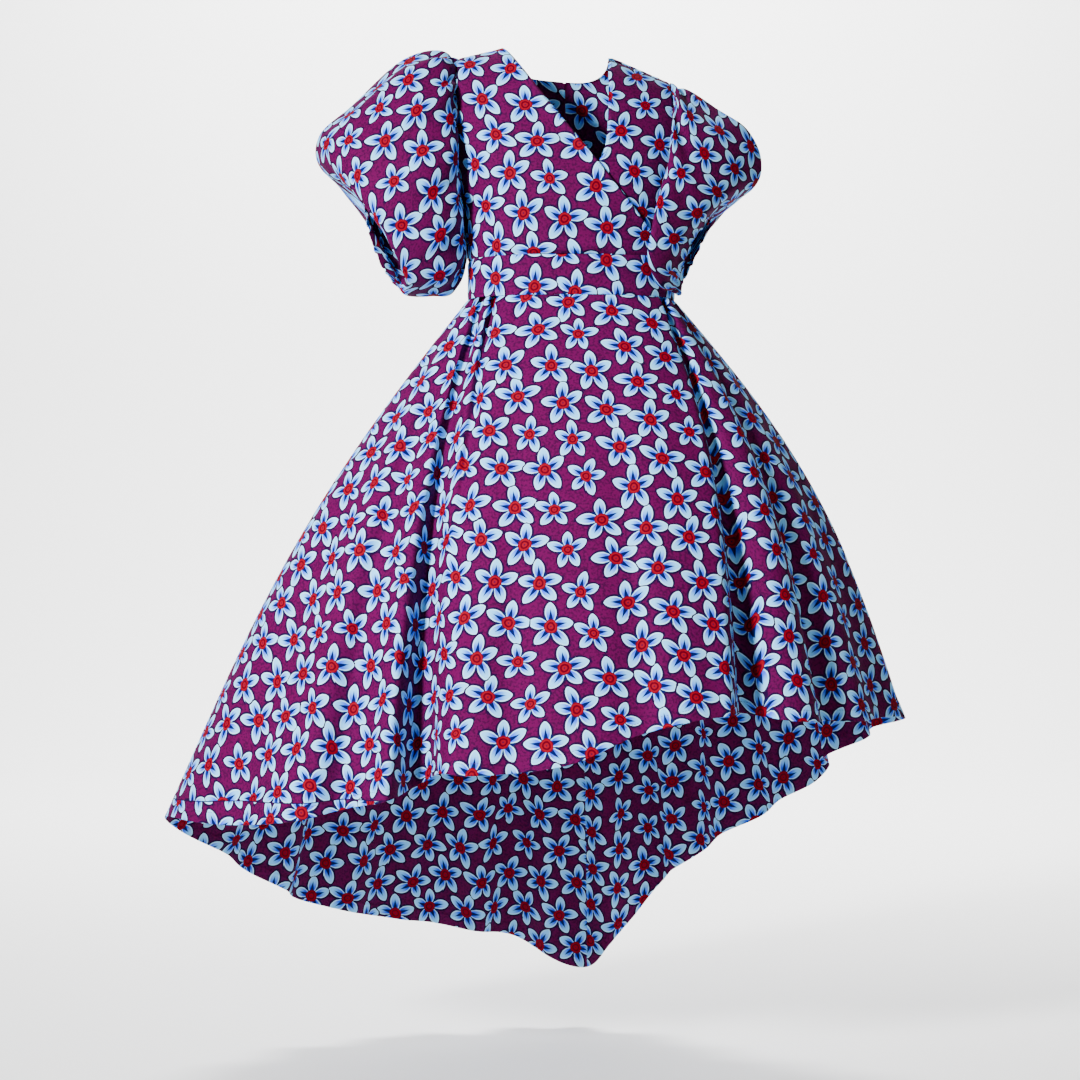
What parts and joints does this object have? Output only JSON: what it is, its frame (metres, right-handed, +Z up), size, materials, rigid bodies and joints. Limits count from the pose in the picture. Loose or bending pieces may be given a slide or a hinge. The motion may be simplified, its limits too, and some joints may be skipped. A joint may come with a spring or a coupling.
{
  "type": "ankara wax print dress",
  "caption": "Worn-form wax print dress with a crossover V neck, puff sleeves, waistband and pleated high-low skirt.",
  "frame": {"origin": "middle of the shoulder line, where the wearer's shoulders carry the dress", "axes": "+X towards the wearer's left, -Y the front, +Z up"},
  "size_m": [1.0776, 0.755, 1.3991],
  "materials": {
    "wax_print_cotton": "smooth printed cotton with a slight sheen"
  },
  "bodies": {
    "root": {"bodice_front_over": "wax_print_cotton", "bodice_front_under": "wax_print_cotton", "bodice_back_left": "wax_print_cotton", "bodice_back_right": "wax_print_cotton", "waistband_front": "wax_print_cotton", "waistband_back_left": "wax_print_cotton", "waistband_back_right": "wax_print_cotton", "skirt_front": "wax_print_cotton", "skirt_back_left": "wax_print_cotton", "skirt_back_right": "wax_print_cotton", "sleeve_right": "wax_print_cotton", "sleeve_left": "wax_print_cotton"}
  },
  "joints": []
}
